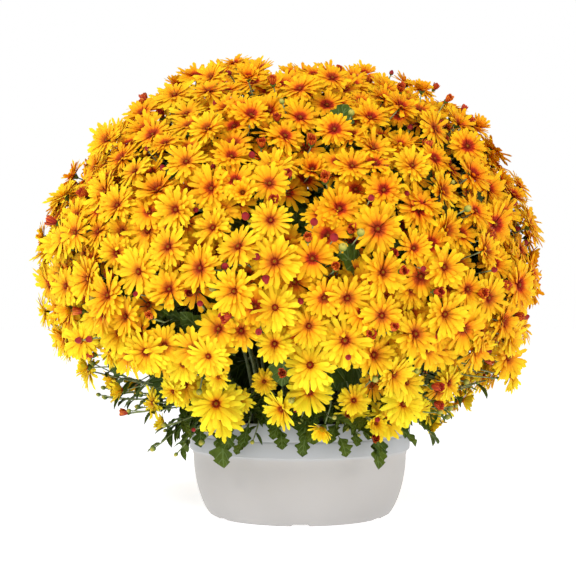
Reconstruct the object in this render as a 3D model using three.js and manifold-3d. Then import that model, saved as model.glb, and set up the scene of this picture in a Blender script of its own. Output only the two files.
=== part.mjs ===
import * as THREE from 'three';
import { mergeVertices } from 'three/addons/utils/BufferGeometryUtils.js';
import { ConvexHull } from 'three/addons/math/ConvexHull.js';
import Module from 'manifold-3d';

// A garden chrysanthemum grown as a cushion of flowers in a low round plastic bowl.
// Millimetres, +Z up, origin in the middle of the bowl's flat underside.

const wasm = await Module();
wasm.setup();

// Clearance between pieces that touch.
const gap = 0.35;

// Bowl: a round shell with a two-band rim.
const potHeight = 135;
const potBaseRadius = 119;
const potBodyRadius = 145;
const rimRadius = 152;
const rimBottom = 90;
const rimStep = 111;
const wall = 3;
const floorThickness = 6;
const potSides = 28;

// Drainage: channels under the floor, each with a hole up into the bowl.
const drainCount = 6;
const channelWidth = 20;
const channelHeight = 3;
const drainReach = 96;
const drainRadius = 4.5;

// Soil and the holes that the shoots stand in.
const soilTop = 117;
const soilSides = 16;
const holeDepth = 20;
const holeRadius = 8;
const holeFieldRadius = 108;

// Cushion of flowers: an ellipsoid, flatter below its widest level, cut off above the rim.
const cushionCentre = new THREE.Vector3(-16, 0, 330);
const cushionRadius = 330;
const cushionRise = 282;
const cushionDrop = 246;
const lowestCosine = -0.8;

// Sprays: each is a small hub from which its heads fan out to the cushion's surface.
const sprayCount = 28;
const spinStart = 0.13;
const goldenAngle = Math.PI * (3 - Math.sqrt(5));
const sprayDepth = 130;
const sprayAngle = 0.36;
const lowestAim = -0.35;
const hubRadius = 32;
const hubBack = 12;
const fenceCount = 12;
const fenceMargin = 0.5;

// Heads: open five-pointed stars and some half-open cups.
const starCount = 480;
const cupCount = 56;
const spotCount = 3000;
const petals = 5;
const headReach = 28;
const roomShare = 0.87;
const notchShare = 0.72;
const petalDroop = 3;
const headRoom = 53.5;
const cupYield = 0.6;
const roomRounds = 30;
const headScatter = 12;
const heightScatter = 9;
const tiltScatter = 0.3;
const sprayBulge = 10;
const lowestFacing = -0.12;
const outwardLean = 0.5;
const cupRadius = 10;
const cupHeight = 15;
const cupSides = 3;
const headSeed = 23;

// Shoots and their leaves.
const stemRadius = 3.4;
const stemSteps = 5;
const twigRadius = 1.8;
const twigSteps = 4;
const leafLength = 46;
const innerLeafLength = 62;
const leafSeed = 7;
const leafThickness = 2.4;
const skirtShoots = 10;
const innerLeaves = 3;
const growthTries = 18;
const leafOutline = [
  { along: 0.26, out: 0.07 },
  { along: 0.44, out: 0.36 },
  { along: 0.6, out: 0.16 },
  { along: 0.76, out: 0.31 },
];

const up = new THREE.Vector3(0, 0, 1);

// Repeatable random numbers from 0 to 1.
function randomFrom(seed) {
  let state = seed;
  return () => {
    state = (state * 1664525 + 1013904223) % 4294967296;
    return state / 4294967296;
  };
}

// ---- solids ----

function toManifold(geometry) {
  const bare = geometry.clone();
  bare.deleteAttribute('normal');
  bare.deleteAttribute('uv');
  const merged = mergeVertices(bare, 1e-4);
  return new wasm.Manifold(new wasm.Mesh({
    numProp: 3,
    vertProperties: new Float32Array(merged.attributes.position.array),
    triVerts: new Uint32Array(merged.index.array),
  }));
}

function toGeometry(manifold) {
  const mesh = manifold.getMesh();
  const geometry = new THREE.BufferGeometry();
  geometry.setAttribute('position', new THREE.BufferAttribute(mesh.vertProperties, 3));
  geometry.setIndex(new THREE.BufferAttribute(mesh.triVerts, 1));
  geometry.computeVertexNormals();
  return geometry;
}

function fromTriangles(points, triangles) {
  const geometry = new THREE.BufferGeometry();
  const flat = points.flatMap((point) => [point.x, point.y, point.z]);
  geometry.setAttribute('position', new THREE.Float32BufferAttribute(flat, 3));
  geometry.setIndex(triangles.flat());
  geometry.computeVertexNormals();
  return geometry;
}

function lathe(profile, sides) {
  const outline = profile.map(([radius, height]) => new THREE.Vector2(radius, height));
  return new THREE.LatheGeometry(outline, sides).rotateX(Math.PI / 2);
}

function named(name, solid, color, roughness) {
  const material = new THREE.MeshStandardMaterial({ color, roughness, metalness: 0 });
  const mesh = new THREE.Mesh(toGeometry(solid), material);
  mesh.name = name;
  return mesh;
}

// ---- bowl and soil ----

// Outer radius of the body at a height, a flaring curve from the base to below the rim.
function bodyRadius(height) {
  const rise = Math.min(height / 82, 1);
  return potBaseRadius + (potBodyRadius - potBaseRadius) * Math.sin(rise * Math.PI / 2) ** 0.62;
}

function potSolid() {
  const outside = [
    [0, 0],
    [potBaseRadius, 0],
    [bodyRadius(9), 9],
    [bodyRadius(26), 26],
    [bodyRadius(52), 52],
    [potBodyRadius, 82],
    [rimRadius - 5, rimBottom],
    [rimRadius - 2, rimBottom + 2],
    [rimRadius - 1, rimStep - 1],
    [rimRadius - 2.5, rimStep + 1],
    [rimRadius, potHeight - 2],
    [rimRadius - 1, potHeight],
  ];
  const inside = [
    [rimRadius - wall - 1, potHeight],
    [potBodyRadius - wall, 82],
    [bodyRadius(26) - wall, 26],
    [bodyRadius(9) - wall - 1, floorThickness],
    [0, floorThickness],
  ];
  let pot = toManifold(lathe([...outside, ...inside], potSides));
  for (let i = 0; i < drainCount; i += 1) {
    const length = potBaseRadius - drainReach + 30;
    const slope = new THREE.Shape([
      new THREE.Vector2(-channelWidth / 2 - 2, -1),
      new THREE.Vector2(channelWidth / 2 + 2, -1),
      new THREE.Vector2(channelWidth / 2 - 2, channelHeight),
      new THREE.Vector2(-channelWidth / 2 + 2, channelHeight),
    ]);
    const channel = new THREE.ExtrudeGeometry(slope, { depth: length, bevelEnabled: false });
    channel.rotateX(Math.PI / 2).translate(0, -drainReach + 10, 0);
    const hole = new THREE.CylinderGeometry(drainRadius, drainRadius, floorThickness * 2, 8);
    hole.rotateX(Math.PI / 2).translate(0, -drainReach, floorThickness);
    const turn = (i / drainCount) * Math.PI * 2;
    pot = pot.subtract(toManifold(channel.rotateZ(turn)));
    pot = pot.subtract(toManifold(hole.rotateZ(turn)));
  }
  return pot;
}

function soilSolid(feet) {
  const inset = wall + gap + 0.9;
  const profile = [
    [0, floorThickness + gap],
    [bodyRadius(9) - inset - 2, floorThickness + gap],
    [bodyRadius(26) - inset, 26],
    [potBodyRadius - inset, 82],
    [potBodyRadius - inset + 2, soilTop - 3],
    [potBodyRadius - 30, soilTop + 1],
    [0, soilTop + 2],
  ];
  let soil = toManifold(lathe(profile, soilSides));
  for (const foot of feet) {
    const hole = new THREE.CylinderGeometry(holeRadius, holeRadius, holeDepth + 10, 4);
    hole.rotateX(Math.PI / 2).translate(foot.x, foot.y, soilTop - holeDepth / 2 + 5);
    soil = soil.subtract(toManifold(hole));
  }
  return soil;
}

// ---- cushion ----

function cushionPoint(aim) {
  const rise = aim.z > 0 ? cushionRise : cushionDrop;
  return new THREE.Vector3(cushionRadius * aim.x, cushionRadius * aim.y, rise * aim.z)
    .add(cushionCentre);
}

function cushionAim(point) {
  const local = point.clone().sub(cushionCentre);
  const rise = local.z > 0 ? cushionRise : cushionDrop;
  const aim = new THREE.Vector3(local.x / cushionRadius, local.y / cushionRadius, local.z / rise);
  return aim.normalize();
}

function cushionNormal(aim) {
  const rise = aim.z > 0 ? cushionRise : cushionDrop;
  return new THREE.Vector3(aim.x / cushionRadius, aim.y / cushionRadius, aim.z / rise).normalize();
}

// Directions spread evenly by the golden angle from the top of the cushion to its lower edge.
function spreadAims(count, start) {
  return Array.from({ length: count }, (_, index) => {
    const cosine = 1 - ((index + 0.5) / count) * (1 - lowestCosine);
    const sine = Math.sqrt(1 - cosine * cosine);
    const turn = start + index * goldenAngle;
    return new THREE.Vector3(sine * Math.cos(turn), sine * Math.sin(turn), cosine);
  });
}

const sprayAims = spreadAims(sprayCount, spinStart);

// Where the stem meets the spray, and the way it points there.
function spraySeat(index) {
  const way = cushionNormal(sprayAims[index]);
  way.z = Math.max(way.z, lowestAim);
  way.normalize();
  const seat = cushionPoint(sprayAims[index]).addScaledVector(way, -sprayDepth);
  return { seat, way };
}

// Places of the open heads, nudged apart until each has room.
function starPlaces(random) {
  const scatter = () => (random() - 0.5) * 2 * headScatter;
  const places = spreadAims(starCount, 0).map((aim) => {
    const point = cushionPoint(aim);
    point.set(point.x + scatter(), point.y + scatter(), point.z + scatter());
    return { point, isCup: false };
  });
  for (let round = 0; round < roomRounds; round += 1) {
    const moves = places.map((place) => {
      const move = new THREE.Vector3();
      for (const other of places) {
        const apart = place.point.clone().sub(other.point);
        const distance = apart.length();
        if (other !== place && distance < headRoom) {
          move.addScaledVector(apart, (0.3 * (headRoom - distance)) / distance);
        }
      }
      return move;
    });
    places.forEach((place, i) => {
      const aim = cushionAim(place.point.add(moves[i]));
      if (aim.z < lowestCosine) {
        const widen = Math.sqrt(1 - lowestCosine ** 2) / Math.hypot(aim.x, aim.y);
        aim.set(aim.x * widen, aim.y * widen, lowestCosine);
      }
      place.aim = aim;
      place.point = cushionPoint(aim);
    });
  }
  return places;
}

// Half-open heads stand where the gaps between the open ones are widest.
function cupPlaces(stars) {
  const aims = spreadAims(spotCount, 0);
  const spots = aims.map(cushionPoint);
  const clear = spots.map((spot) => (
    Math.min(...stars.map((star) => star.point.distanceTo(spot)))));
  return Array.from({ length: cupCount }, () => {
    const widest = clear.indexOf(Math.max(...clear));
    const point = spots[widest].clone();
    spots.forEach((spot, i) => {
      clear[i] = Math.min(clear[i], spot.distanceTo(point));
    });
    return { point, aim: aims[widest], isCup: true };
  });
}

function growHeads() {
  const random = randomFrom(headSeed);
  const stars = starPlaces(random);
  const heads = [...stars, ...cupPlaces(stars)];
  for (const head of heads) {
    const angles = sprayAims.map((aim) => aim.angleTo(head.aim));
    const nearest = Math.min(...angles);
    head.spray = angles.indexOf(nearest);
    const normal = cushionNormal(head.aim);
    const bulge = sprayBulge * (0.5 - (nearest / sprayAngle) ** 2);
    head.point.addScaledVector(normal, bulge + (random() - 0.5) * 2 * heightScatter);
    head.facing = normal.clone();
    head.facing.z = Math.max(head.facing.z, lowestFacing);
    head.facing.x += (random() - 0.5) * 2 * tiltScatter;
    head.facing.y += (random() - 0.5) * 2 * tiltScatter;
    head.facing.z += (random() - 0.5) * 2 * tiltScatter;
    const { seat, way } = spraySeat(head.spray);
    head.hub = seat.addScaledVector(way, hubBack);
    head.way = head.point.clone().sub(head.hub).normalize();
    head.facing.addScaledVector(head.way, outwardLean).normalize();
  }
  for (const head of heads) {
    head.near = heads.filter((other) => (
      other !== head && other.point.distanceTo(head.point) < headReach * 3));
  }
  return heads;
}

const heads = growHeads();

// How far a head can reach in one direction before it is nearer to another head.
function roomAlong(head, direction) {
  let room = headReach;
  const limit = (origin, normal) => {
    const toward = direction.dot(normal);
    if (toward > 0) {
      room = Math.min(room, origin.clone().sub(head.point).dot(normal) / toward);
    }
  };
  for (const other of head.near) {
    const share = other.isCup ? cupYield : 0.5;
    limit(head.point.clone().lerp(other.point, share), other.point.clone().sub(head.point));
    if (other.spray === head.spray) {
      const border = head.way.clone().lerp(other.way, share).normalize();
      limit(head.hub, other.way.clone().sub(head.way).projectOnPlane(border));
    }
  }
  return room * roomShare - gap;
}

// The hub's surface shared out between the heads: corner points, and each head's ring of them.
function hubCells(index, members) {
  const { way } = spraySeat(index);
  const { hub } = members[0];
  const side = new THREE.Vector3().crossVectors(up, way).normalize();
  const widest = Math.max(...members.map((head) => head.way.angleTo(way)));
  const fence = Array.from({ length: fenceCount }, (_, i) => side.clone()
    .applyAxisAngle(way, (i / fenceCount) * Math.PI * 2)
    .multiplyScalar(Math.sin(widest + fenceMargin))
    .addScaledVector(way, Math.cos(widest + fenceMargin)));
  const hull = new ConvexHull().setFromPoints([
    ...members.map((head) => head.way), ...fence, way.clone().negate()]);
  const corners = [];
  const cells = members.map(() => []);
  for (const face of hull.faces) {
    const owners = [];
    let edge = face.edge;
    do {
      owners.push(members.findIndex((head) => head.way === edge.head().point));
      edge = edge.next;
    } while (edge !== face.edge);
    if (owners.some((owner) => owner >= 0)) {
      owners.filter((owner) => owner >= 0).forEach((owner) => cells[owner].push(corners.length));
      corners.push(hub.clone().addScaledVector(face.normal, hubRadius));
    }
  }
  return { corners, cells };
}

// Two directions square to an axis, the first as near as can be to the one asked for.
function squareTo(axis, wish) {
  const side = wish.clone().addScaledVector(axis, -wish.dot(axis)).normalize();
  return { side, across: new THREE.Vector3().crossVectors(axis, side) };
}

// Walls from a ring of corners up to a ring of rim points, both in order round the head.
function wallTriangles(base, baseTurns, rim, rimTurns) {
  const full = Math.PI * 2;
  const turnAt = (turns, i) => turns[i % turns.length] + full * Math.floor(i / turns.length);
  const triangles = [];
  let i = 0;
  let j = 0;
  while (i < base.length || j < rim.length) {
    const low = base[i % base.length];
    const high = rim[j % rim.length];
    if (j >= rim.length || (i < base.length && turnAt(baseTurns, i + 1) < turnAt(rimTurns, j + 1))) {
      triangles.push([low, base[(i + 1) % base.length], high]);
      i += 1;
    } else {
      triangles.push([rim[(j + 1) % rim.length], high, low]);
      j += 1;
    }
  }
  return triangles;
}

// Triangles of one head, which rises from its ring of corners on the hub.
function headTriangles(head, cell, points) {
  const { side, across } = squareTo(head.facing, new THREE.Vector3().crossVectors(head.facing, up));
  const low = squareTo(head.way, side);
  const full = Math.PI * 2;
  const turnOf = (index) => {
    const local = points[index].clone().sub(head.hub);
    return (Math.atan2(local.dot(low.across), local.dot(low.side)) + full) % full;
  };
  const base = cell.toSorted((a, b) => turnOf(a) - turnOf(b));
  const outward = (turn) => side.clone().multiplyScalar(Math.cos(turn))
    .addScaledVector(across, Math.sin(turn));
  const ringTurns = (count) => Array.from({ length: count }, (_, i) => (i / count) * full);
  const addRing = (radii, heights) => ringTurns(radii.length).map((turn, i) => {
    points.push(head.point.clone().addScaledVector(outward(turn), radii[i])
      .addScaledVector(head.facing, heights[i]));
    return points.length - 1;
  });
  if (head.isCup) {
    const evenRing = (radius, height) => (
      addRing(Array(cupSides).fill(radius), Array(cupSides).fill(height)));
    const neck = evenRing(cupRadius * 0.6, -cupHeight);
    const brim = evenRing(cupRadius, 0);
    return [
      ...wallTriangles(base, base.map(turnOf), neck, ringTurns(cupSides)),
      ...wallTriangles(neck, ringTurns(cupSides), brim, ringTurns(cupSides)),
      brim,
    ];
  }
  const count = petals * 2;
  const rooms = ringTurns(count).map((turn) => roomAlong(head, outward(turn)));
  const radii = rooms.map((room, i) => (i % 2 === 0 ? room : Math.min(room,
    (notchShare * (rooms[i - 1] + rooms[(i + 1) % count])) / 2)));
  const rim = addRing(radii, rooms.map((_, i) => (i % 2 === 0 ? -petalDroop : 0)));
  const triangles = wallTriangles(base, base.map(turnOf), rim, ringTurns(count));
  for (let i = 0; i < count; i += 2) {
    triangles.push([rim[(i + count - 1) % count], rim[i], rim[i + 1]]);
  }
  for (let i = 3; i < count - 1; i += 2) {
    triangles.push([rim[1], rim[i], rim[i + 2]]);
  }
  return triangles;
}

function sprayGeometry(index) {
  const members = heads.filter(({ spray }) => spray === index);
  const { corners: points, cells } = hubCells(index, members);
  const triangles = [];
  const edges = new Set();
  members.forEach((head, i) => {
    triangles.push(...headTriangles(head, cells[i], points));
  });
  for (const [a, b, c] of triangles) {
    edges.add(`${a},${b}`).add(`${b},${c}`).add(`${c},${a}`);
  }
  const back = points.length;
  points.push(spraySeat(index).seat);
  for (const edge of edges) {
    const [a, b] = edge.split(',').map(Number);
    if (!edges.has(`${b},${a}`)) {
      triangles.push([b, a, back]);
    }
  }
  return fromTriangles(points, triangles);
}

// ---- shoots ----

// A lobed leaf: two fans over one outline, so it is thickest along its middle.
function leafGeometry(root, way, face, length) {
  const along = way.clone().normalize();
  const across = new THREE.Vector3().crossVectors(face, along).normalize();
  const over = new THREE.Vector3().crossVectors(along, across);
  const place = (share, out) => root.clone()
    .addScaledVector(along, share * length)
    .addScaledVector(across, out * length)
    .addScaledVector(over, -0.3 * length * share * share - 0.25 * length * Math.abs(out));
  const rim = [
    place(0, 0),
    ...leafOutline.map(({ along: share, out }) => place(share, -out)),
    place(1, 0),
    ...leafOutline.map(({ along: share, out }) => place(share, out)).reverse(),
  ];
  const middle = place(0.48, 0);
  const top = middle.clone().addScaledVector(over, leafThickness / 2);
  const bottom = middle.clone().addScaledVector(over, -leafThickness / 2);
  const triangles = [];
  rim.forEach((_, i) => {
    const next = (i + 1) % rim.length;
    triangles.push([i, next, rim.length], [next, i, rim.length + 1]);
  });
  return fromTriangles([...rim, top, bottom], triangles);
}

function rodGeometry(curve, radius, sides, steps) {
  const section = new THREE.Shape(Array.from({ length: sides }, (_, i) => {
    const angle = (i / sides) * Math.PI * 2;
    return new THREE.Vector2(radius * Math.cos(angle), radius * Math.sin(angle));
  }));
  return new THREE.ExtrudeGeometry(section, { steps, bevelEnabled: false, extrudePath: curve });
}

// Foot of each shoot in the soil, in the same spiral as the sprays above.
function shootFoot(index) {
  const radius = holeFieldRadius * Math.sqrt((index + 0.5) / sprayCount);
  const turn = spinStart + index * goldenAngle;
  return new THREE.Vector3(radius * Math.cos(turn), radius * Math.sin(turn), soilTop - holeDepth + gap);
}

function shootCurve(index) {
  const foot = shootFoot(index);
  const { seat, way } = spraySeat(index);
  const height = seat.distanceTo(foot);
  return new THREE.CubicBezierCurve3(
    foot,
    foot.clone().addScaledVector(up, height * 0.45),
    seat.clone().addScaledVector(way, -height * 0.3),
    seat.clone().addScaledVector(way, -gap),
  );
}

// Middle of one straight stretch of a rod, where a leaf or twig is rooted.
function rodMiddle(curve, steps, step) {
  return curve.getPointAt(step / steps).lerp(curve.getPointAt((step + 1) / steps), 0.5);
}

function boxesNear(a, b) {
  const [one, two] = [a.boundingBox(), b.boundingBox()];
  return [0, 1, 2].every((k) => one.min[k] < two.max[k] + 1 && two.min[k] < one.max[k] + 1);
}

// Joins a growth to its shoot where it first finds room among everything else.
function joinWithRoom(shoots, index, others, propose) {
  for (let attempt = 0; attempt < growthTries; attempt += 1) {
    const growth = propose(attempt);
    const around = [...others, ...shoots.filter((_, i) => i !== index)];
    if (around.every((solid) => !boxesNear(growth, solid) || growth.minGap(solid, 1) > gap)) {
      shoots[index] = shoots[index].add(growth);
      return;
    }
  }
}

// Leaves under each spray, one on each stretch of the stem below its top.
function growLeaves(shoots, index, others, random) {
  const curve = shootCurve(index);
  for (let i = 0; i < innerLeaves; i += 1) {
    const step = stemSteps - 1 - innerLeaves + i;
    const tangent = curve.getTangentAt((step + 0.5) / stemSteps);
    const start = random() * Math.PI * 2;
    const length = innerLeafLength * (0.85 + 0.3 * random());
    joinWithRoom(shoots, index, others, (attempt) => {
      const turn = start + i * Math.PI + attempt * goldenAngle;
      const wish = new THREE.Vector3(Math.cos(turn), Math.sin(turn), 0.1);
      const { side } = squareTo(tangent, wish);
      return toManifold(leafGeometry(rodMiddle(curve, stemSteps, step), side, tangent, length));
    });
  }
}

// A side twig that leans out over the rim with three leaves hanging from it.
function growSkirt(shoots, index, others, random) {
  const curve = shootCurve(index);
  const start = rodMiddle(curve, stemSteps, 1);
  const wish = Math.atan2(start.y, start.x) + (random() - 0.5) * 0.3;
  joinWithRoom(shoots, index, others, (attempt) => {
    const turn = wish + (attempt % 2 ? 1 : -1) * 0.12 * Math.ceil(attempt / 2);
    const out = new THREE.Vector3(Math.cos(turn), Math.sin(turn), 0);
    const at = (radius, height) => out.clone().multiplyScalar(radius).setZ(height);
    const twig = new THREE.CubicBezierCurve3(start, at(rimRadius - 20, potHeight + 32),
      at(rimRadius + 8, potHeight + 30), at(rimRadius + 20, potHeight + 2));
    let growth = toManifold(rodGeometry(twig, twigRadius, 3, twigSteps));
    for (let i = 0; i < 3; i += 1) {
      const way = out.clone().applyAxisAngle(up, (i - 1) * 0.95).setZ(i === 1 ? -1.2 : -0.5);
      const face = out.clone().applyAxisAngle(up, (i - 1) * 0.95).setZ(0.9);
      const root = rodMiddle(twig, twigSteps, twigSteps - (i === 1 ? 1 : 2));
      growth = growth.add(toManifold(leafGeometry(root, way, face, leafLength)));
    }
    return growth;
  });
}

// ---- the whole plant ----

const indexes = Array.from({ length: sprayCount }, (_, index) => index);
const pot = potSolid();
const soil = soilSolid(indexes.map(shootFoot));
const sprays = indexes.map((index) => toManifold(sprayGeometry(index)));
const shoots = indexes.map((index) => (
  toManifold(rodGeometry(shootCurve(index), stemRadius, 3, stemSteps))));
const leafRandom = randomFrom(leafSeed);
const others = [pot, soil, ...sprays];
for (const index of indexes) {
  if (index >= sprayCount - skirtShoots) {
    growSkirt(shoots, index, others, leafRandom);
  }
  growLeaves(shoots, index, others, leafRandom);
}

const plant = new THREE.Group();
plant.add(named('pot', pot, '#cfcbc6', 0.6));
plant.add(named('soil', soil, '#3a2c22', 0.95));
for (const index of indexes) {
  const number = String(index + 1).padStart(2, '0');
  plant.add(named(`shoot_${number}`, shoots[index], '#3f6a2c', 0.7));
  plant.add(named(`spray_${number}`, sprays[index], '#f2b21b', 0.75));
}

export default plant;
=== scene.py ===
from math import atan2, cos, exp, hypot, pi, radians, sin, sqrt, tau
from types import SimpleNamespace

import bmesh
import bpy
import numpy as np
from mathutils import Matrix, Vector, geometry, noise


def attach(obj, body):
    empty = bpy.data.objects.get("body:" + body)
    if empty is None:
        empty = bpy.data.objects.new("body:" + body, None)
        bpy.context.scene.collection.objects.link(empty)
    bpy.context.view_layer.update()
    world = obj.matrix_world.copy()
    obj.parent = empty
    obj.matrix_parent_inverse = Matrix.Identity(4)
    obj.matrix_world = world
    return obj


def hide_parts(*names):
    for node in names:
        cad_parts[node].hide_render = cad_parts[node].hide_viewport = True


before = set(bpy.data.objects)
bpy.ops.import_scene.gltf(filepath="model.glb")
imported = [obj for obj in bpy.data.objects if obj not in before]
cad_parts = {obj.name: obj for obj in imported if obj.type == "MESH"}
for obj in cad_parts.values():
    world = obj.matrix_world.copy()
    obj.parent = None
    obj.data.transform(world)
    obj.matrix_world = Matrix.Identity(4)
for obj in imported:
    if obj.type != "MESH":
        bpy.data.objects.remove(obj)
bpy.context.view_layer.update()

# Everything is modelled in millimetres and brought to metres when a piece is finished.
mm = 0.001
up = Vector((0, 0, 1))
fullTurn = tau
goldenAngle = pi * (3 - sqrt(5))
sprayNames = sorted(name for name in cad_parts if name.startswith("spray"))
shootNames = sorted(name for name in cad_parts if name.startswith("shoot"))


# repeatable random numbers, the same sequence as the solids were grown from
def randomFrom(seed):
    state = seed

    def draw():
        nonlocal state
        state = (state * 1664525 + 1013904223) % 4294967296
        return state / 4294967296

    return draw


def spread(draw, amount):
    return (draw() - 0.5) * 2 * amount


def within(draw, low, high):
    return low + (high - low) * draw()


# a direction seen from above, and the point at a distance in it
def turnOf(point):
    return atan2(point[1], point[0])


def around(turn, radius, height):
    return Vector((radius * cos(turn), radius * sin(turn), height))


# where the heads stand
cushion = {"centre": np.array((-16.0, 0.0, 330.0)), "radius": 330, "rise": 282, "drop": 246, "lowestCosine": -0.8}
sprays = {"start": 0.13, "depth": 130, "angle": 0.36, "lowestAim": -0.35, "hubBack": 12, "bulge": 10}

heads = {
    "seed": 23, "stars": 480, "cups": 56, "spots": 3000, "room": 53.5, "push": 0.3, "rounds": 30, "scatter": 12,
    "heightScatter": 9, "tiltScatter": 0.3, "lowestFacing": -0.12, "outwardLean": 0.5,
    "tucked": 700,  # smaller heads and buds added in the gaps that are left
    "deep": 290,  # single heads lower down, seen between the others
    "deepStart": 2.0,
    "deepSink": (26, 20),
}

# What stands in a gap: kind, the draws it takes, how deep it sits and how much deeper it may be.
gapKinds = (("tucked", 0.61, 6, 18), ("cup", 0.76, 5, 0), ("bud", 1, 0, 0))


def unit(rows):
    return rows / np.linalg.norm(rows, axis=-1, keepdims=True)


def cushionRadii(height):
    rise = np.where(height > 0, cushion["rise"], cushion["drop"])
    side = np.full_like(rise, cushion["radius"])
    return np.stack([side, side, rise], axis=-1).astype(float)


def cushionPoint(aim):
    return cushion["centre"] + aim * cushionRadii(aim[..., 2])


def cushionAim(point):
    local = point - cushion["centre"]
    return unit(local / cushionRadii(local[..., 2]))


def cushionNormal(aim):
    return unit(aim / cushionRadii(aim[..., 2]))


def spreadAims(count, start):
    index = np.arange(count)
    cosine = 1 - (index + 0.5) / count * (1 - cushion["lowestCosine"])
    sine = np.sqrt(1 - cosine**2)
    turn = start + index * goldenAngle
    return np.stack([sine * np.cos(turn), sine * np.sin(turn), cosine], axis=1)


sprayAims = spreadAims(len(sprayNames), sprays["start"])


def spraySeat(index):
    way = cushionNormal(sprayAims[index])
    way[2] = max(way[2], sprays["lowestAim"])
    way = unit(way)
    return cushionPoint(sprayAims[index]) - way * sprays["depth"], way


def starAims(draw):
    lowest = cushion["lowestCosine"]
    count = heads["stars"]
    scatter = np.array([spread(draw, heads["scatter"]) for _ in range(count * 3)])
    point = cushionPoint(spreadAims(count, 0)) + scatter.reshape(count, 3)
    for _ in range(heads["rounds"]):
        apart = point[:, None] - point[None]
        distance = np.linalg.norm(apart, axis=2)
        np.fill_diagonal(distance, cushion["radius"])  # a head doesn't push itself
        push = np.where(distance < heads["room"], heads["push"] * (heads["room"] - distance) / distance, 0)
        aim = cushionAim(point + (apart * push[..., None]).sum(axis=1))
        under = aim[:, 2] < lowest
        widen = sqrt(1 - lowest**2) / np.hypot(aim[under, 0], aim[under, 1])
        aim[under, :2] *= widen[:, None]
        aim[under, 2] = lowest
        point = cushionPoint(aim)
    return aim


# the widest gaps in turn
def gapAims(aims, count):
    spotAims = spreadAims(heads["spots"], 0)
    spots = cushionPoint(spotAims)
    taken = cushionPoint(aims)
    clear = np.linalg.norm(spots[:, None] - taken[None], axis=2).min(axis=1)
    found = []
    for _ in range(count):
        widest = int(np.argmax(clear))
        found.append(spotAims[widest])
        clear = np.minimum(clear, np.linalg.norm(spots - spots[widest], axis=1))
    return found


def placeHead(draw, aim, kind, sink=0.0):
    angles = np.arccos(np.clip(sprayAims @ aim, -1, 1))
    spray = int(np.argmin(angles))
    normal = cushionNormal(aim)
    bulge = sprays["bulge"] * (0.5 - (angles[spray] / sprays["angle"]) ** 2)
    point = cushionPoint(aim) + normal * (bulge + spread(draw, heads["heightScatter"]) - sink)
    facing = normal.copy()
    facing[2] = max(facing[2], heads["lowestFacing"])
    facing += [spread(draw, heads["tiltScatter"]) for _ in range(3)]
    seat, way = spraySeat(spray)
    hub = seat + way * sprays["hubBack"]
    outward = unit(point - hub)
    facing = unit(facing + outward * heads["outwardLean"])
    return SimpleNamespace(kind=kind, spray=spray, point=Vector(point), facing=Vector(facing), hub=Vector(hub),
                           way=Vector(outward), aim=aim, ownSize=None)


# the place on the cushion's front that is seen at a given distance across and height
def frontAim(across, height):
    local = np.array((across, 0.0, height)) - cushion["centre"]
    aim = local / cushionRadii(local[2])
    aim[1] = -sqrt(max(1 - aim[0] ** 2 - aim[2] ** 2, 0))
    return unit(aim)


# Smaller heads that close gaps, as (across, height, how deep).
fillers = ((209, 340, 7), (188, 458, 7), (137, 499, 7), (145, 322, 7), (60, 493, 7), (146, 414, 7), (86, 450, 7),
           (8, 470, 58), (-140, 568, 12), (-116, 552, 12), (-172, 522, 12))


def growHeads():
    draw = randomFrom(heads["seed"])
    stars = starAims(draw)
    gaps = gapAims(stars, heads["cups"] + heads["tucked"])
    placed = [placeHead(draw, aim, "open") for aim in stars]
    placed += [placeHead(draw, aim, "cup") for aim in gaps[: heads["cups"]]]
    for aim in gaps[heads["cups"] :]:
        lot = draw()
        kind, _, sink, more = next(entry for entry in gapKinds if lot < entry[1])
        placed.append(placeHead(draw, aim, kind, sink + (more * draw() if more else 0)))
    sink, more = heads["deepSink"]
    for aim in spreadAims(heads["deep"], heads["deepStart"]):
        placed.append(placeHead(draw, aim, "deep", sink + more * draw()))
    for point, facing, kind, size in loneHeads:
        head = placeHead(draw, cushionAim(np.array(point, dtype=float)), kind)
        head.point, head.facing, head.ownSize = Vector(point), Vector(facing).normalized(), size
        placed.append(head)
    for across, height, sink in fillers:
        placed.append(placeHead(draw, frontAim(across, height), "tucked", sink))
    return placed


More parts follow.
